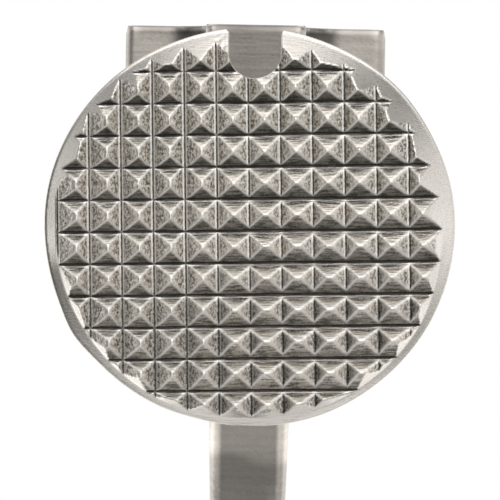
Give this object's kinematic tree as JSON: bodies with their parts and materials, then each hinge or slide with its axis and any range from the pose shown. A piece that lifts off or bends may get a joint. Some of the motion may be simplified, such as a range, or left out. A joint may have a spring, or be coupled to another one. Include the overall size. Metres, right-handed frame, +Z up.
{
  "type": "framing hammer",
  "caption": "Straight-claw framing hammer: one-piece titanium head and I-beam handle, removable milled steel face with a nail starter, rubber grip.",
  "frame": {"origin": "centre of the tether hole through the butt of the handle, on the hammer's plane of symmetry", "axes": "+Z up the handle to the head, -Y the way the face strikes (the claws point to +Y), +X along the tether hole to the side that the face's set screw is on"},
  "size_m": [0.0386, 0.16, 0.4374],
  "materials": {
    "cast_titanium": "bead-blasted cast titanium, matt warm grey",
    "face_steel": "milled hardened steel, ground rim",
    "screw_steel": "black oxide",
    "magnet_nickel": "nickel plate",
    "core_nylon": "moulded glass-filled nylon",
    "grip_rubber": "moulded matt rubber",
    "cap_nylon": "moulded, fine texture",
    "bushing_steel": "turned, zinc plate"
  },
  "bodies": {
    "hammer": {"hammer_body": "cast_titanium", "nail_magnet": "magnet_nickel", "grip_core_right": "core_nylon", "grip_core_left": "core_nylon", "grip_sleeve": "grip_rubber", "grip_screws": "screw_steel", "grip_barrel_nuts": "screw_steel", "butt_cap": "cap_nylon", "tether_bushing": "bushing_steel"},
    "face": {"striking_face": "face_steel"},
    "lock_screw": {"face_lock_screw": "screw_steel"}
  },
  "joints": [
    {"name": "face_draw", "type": "slide", "parent": "hammer", "child": "face", "axis": [0, -1, 0], "range_m": [0, 0.018]},
    {"name": "lock_screw_back_off", "type": "slide", "parent": "hammer", "child": "lock_screw", "axis": [1, 0, 0], "range_m": [0, 0.0045]}
  ],
  "couplings": [
    {"joint": "lock_screw_back_off", "follows": "face_draw", "ratio": 0.25}
  ]
}
